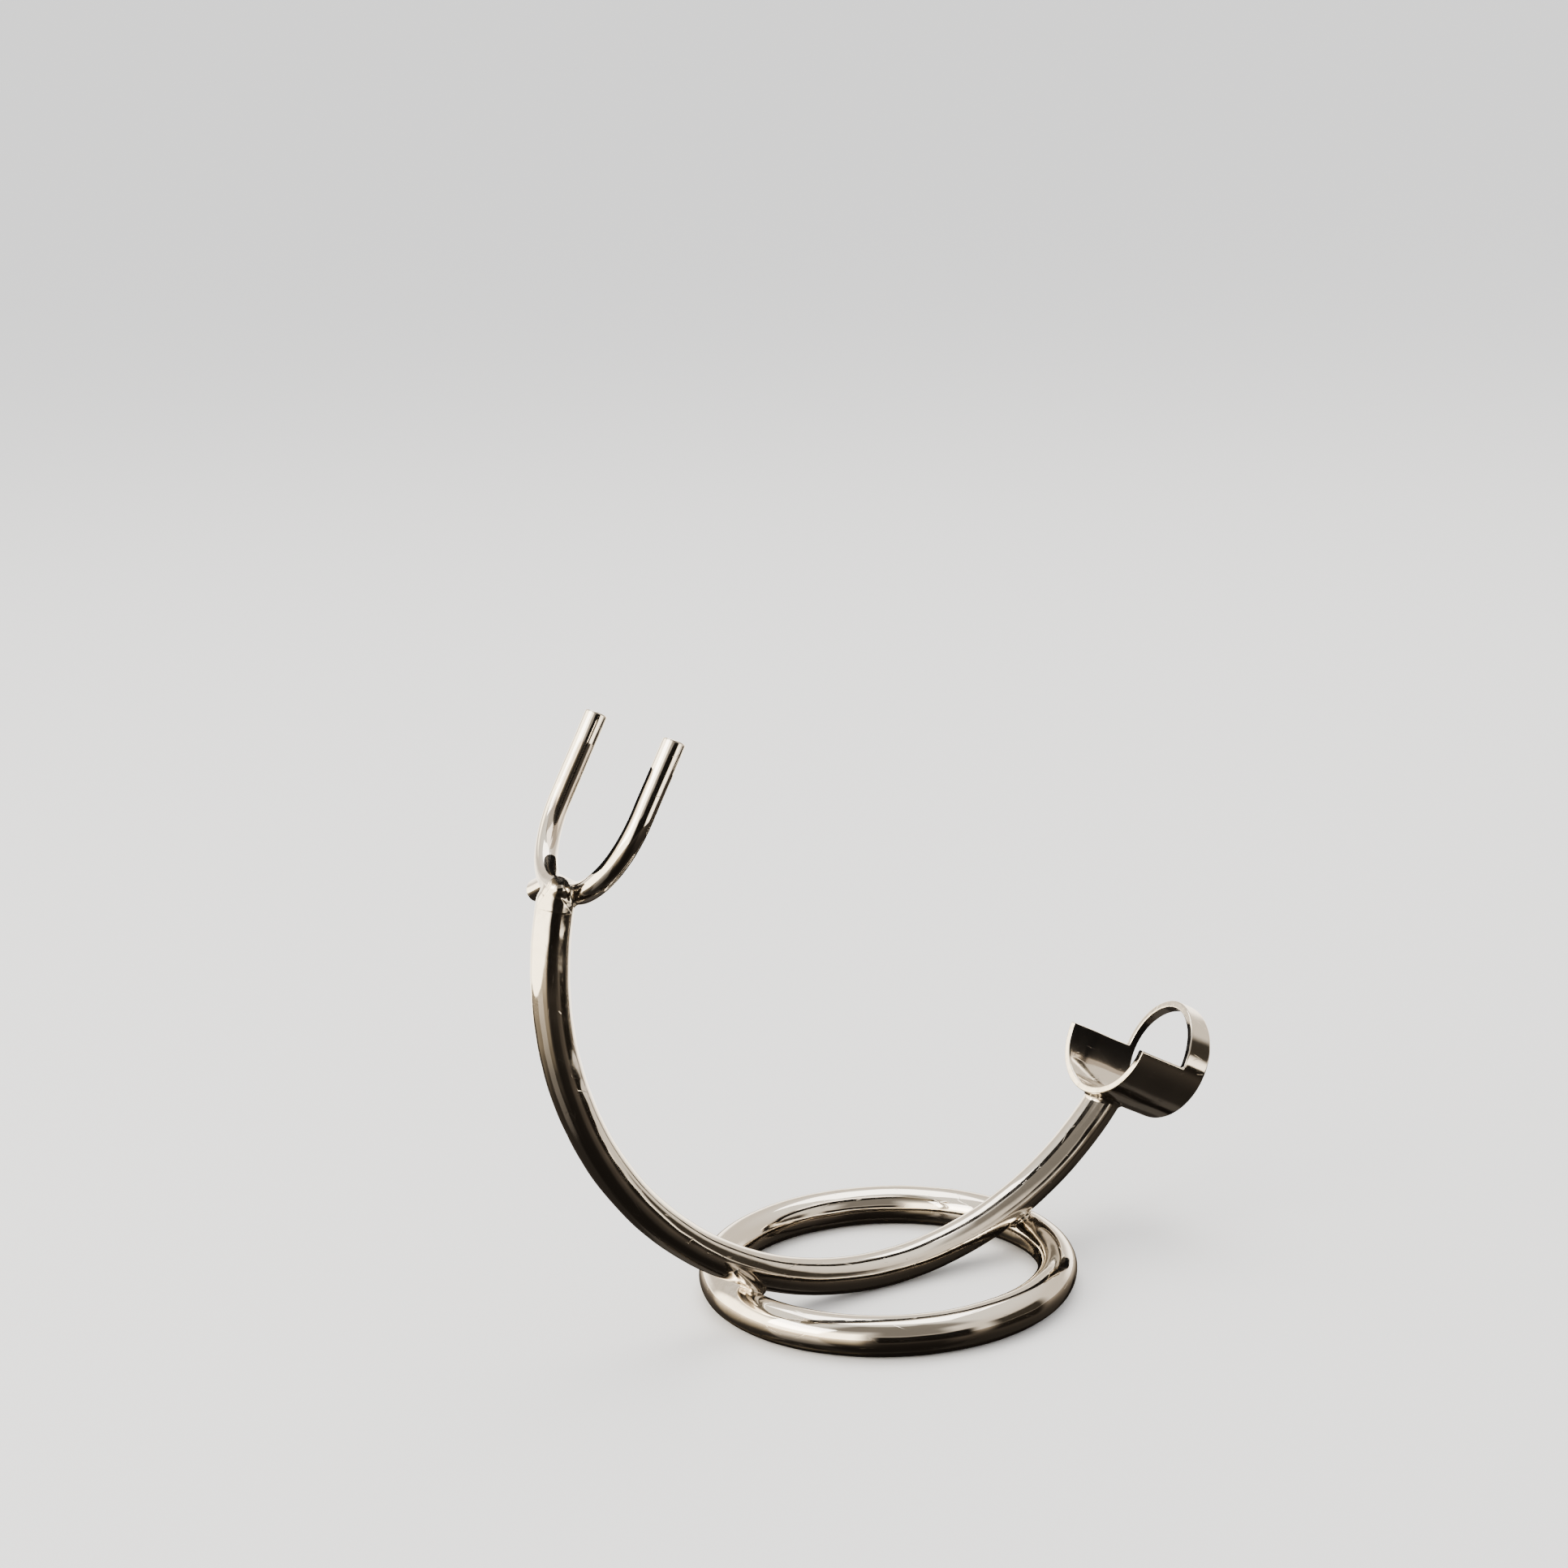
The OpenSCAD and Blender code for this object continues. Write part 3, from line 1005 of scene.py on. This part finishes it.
def only_mirrored(name, verts, faces, dark, ior=1.36):
    """A dark varnished object that shows in the metal's reflections and nowhere else."""
    mat = bpy.data.materials.new(name)
    mat.use_nodes = True
    mat.node_tree.nodes.clear()
    gm = Graph(mat.node_tree)
    body = gm.new("ShaderNodeEmission")
    body.inputs["Color"].default_value = (*dark, 1)
    varnish = gm.new("ShaderNodeBsdfAnisotropic")
    varnish.inputs["Color"].default_value = (0.55, 0.51, 0.47, 1)
    varnish.inputs["Roughness"].default_value = 0.14
    fresnel = gm.new("ShaderNodeFresnel")
    fresnel.inputs["IOR"].default_value = ior
    coat = gm.new("ShaderNodeMixShader")
    gm.feed(fresnel.outputs[0], coat.inputs["Fac"])
    gm.feed(body.outputs[0], coat.inputs[1])
    gm.feed(varnish.outputs[0], coat.inputs[2])
    gm.feed(coat.outputs[0], gm.new("ShaderNodeOutputMaterial").inputs["Surface"])
    me = bpy.data.meshes.new(name)
    me.from_pydata(verts, [], faces)
    me.materials.append(mat)
    ob = bpy.data.objects.new(name, me)
    ob.visible_camera = False
    ob.visible_diffuse = False
    ob.visible_transmission = False
    ob.visible_volume_scatter = False
    ob.visible_shadow = False
    bpy.context.scene.collection.objects.link(ob)


left, right, near, far = -0.20, 0.145, -0.45, 0.083
UNDER_FLOOR = -0.00005
outline = ((left, near), (right, near), (right, far), (left, far))
corners = [RIGHT * x - TOWARD * y for x, y in outline]
only_mirrored("dark_table", [(c.x, c.y, UNDER_FLOOR) for c in corners], [(0, 1, 2, 3)],
              (0.010, 0.0083, 0.007))


def along_rest(x, y, z):
    """Place in metres, from millimetres in the fork's axes."""
    return tuple((FORK + x * FORK_X + y * AXIS_Y + z * FORK_Z) * MM)


def slab(name, outline, half, ior=1.36):
    """Upright slab along the rest line, from its side outline."""
    n = len(outline)
    verts = [along_rest(x, side * half, z) for side in (-1, 1) for x, z in outline]
    faces = [tuple(range(n)), tuple(range(2 * n - 1, n - 1, -1))]
    faces += [(i, (i + 1) % n, n + (i + 1) % n, n + i) for i in range(n)]
    only_mirrored(name, verts, faces, (0.010, 0.009, 0.0085), ior)


slab("dark_handle", [(-60, 3), (-60, 17), (60, 19), (84, 17), (84, 10), (60, 3.5)], 5.2)
slab("dark_tang", [(80, 17), (96, 15.5), (108, 13.5), (113, 8), (113, 3), (96, 3.6), (80, 9)], 3.4,
     ior=1.06)


def softbox(name, loc, at, side, energy, colour):
    """A square light at loc, turned towards at."""
    li = bpy.data.lights.new(name, "AREA")
    li.shape = "RECTANGLE"
    li.size = side
    li.size_y = side
    li.energy = energy
    li.color = colour
    ob = bpy.data.objects.new(name, li)
    ob.location = loc
    ob.rotation_euler = (Vector(at) - Vector(loc)).to_track_quat("-Z", "Y").to_euler()
    bpy.context.scene.collection.objects.link(ob)


softbox("soft_left", (-0.75, 0.0, 0.42), (0, 0, 0.04), 0.5, 6.0, (1.0, 0.97, 0.90))
softbox("soft_top", (0.15, 0.25, 0.9), (0, 0, 0.03), 0.7, 8.0, (1.0, 0.97, 0.92))

# ---------------------------------------------------------------- camera, as fitted to the photo
cam = bpy.data.cameras.new("camera")
cam.sensor_width = 36
cam.lens = 70.34
cam.clip_start = 0.01
cam_ob = bpy.data.objects.new("camera", cam)
cam_ob.matrix_world = Matrix((
    (0.86006819, 0.14830932, -0.48814656, CAM.x),
    (-0.50901178, 0.18476166, -0.84069622, CAM.y),
    (-0.03449232, 0.97152842, 0.23439882, CAM.z),
    (0, 0, 0, 1)))
bpy.context.scene.collection.objects.link(cam_ob)
bpy.context.scene.camera = cam_ob
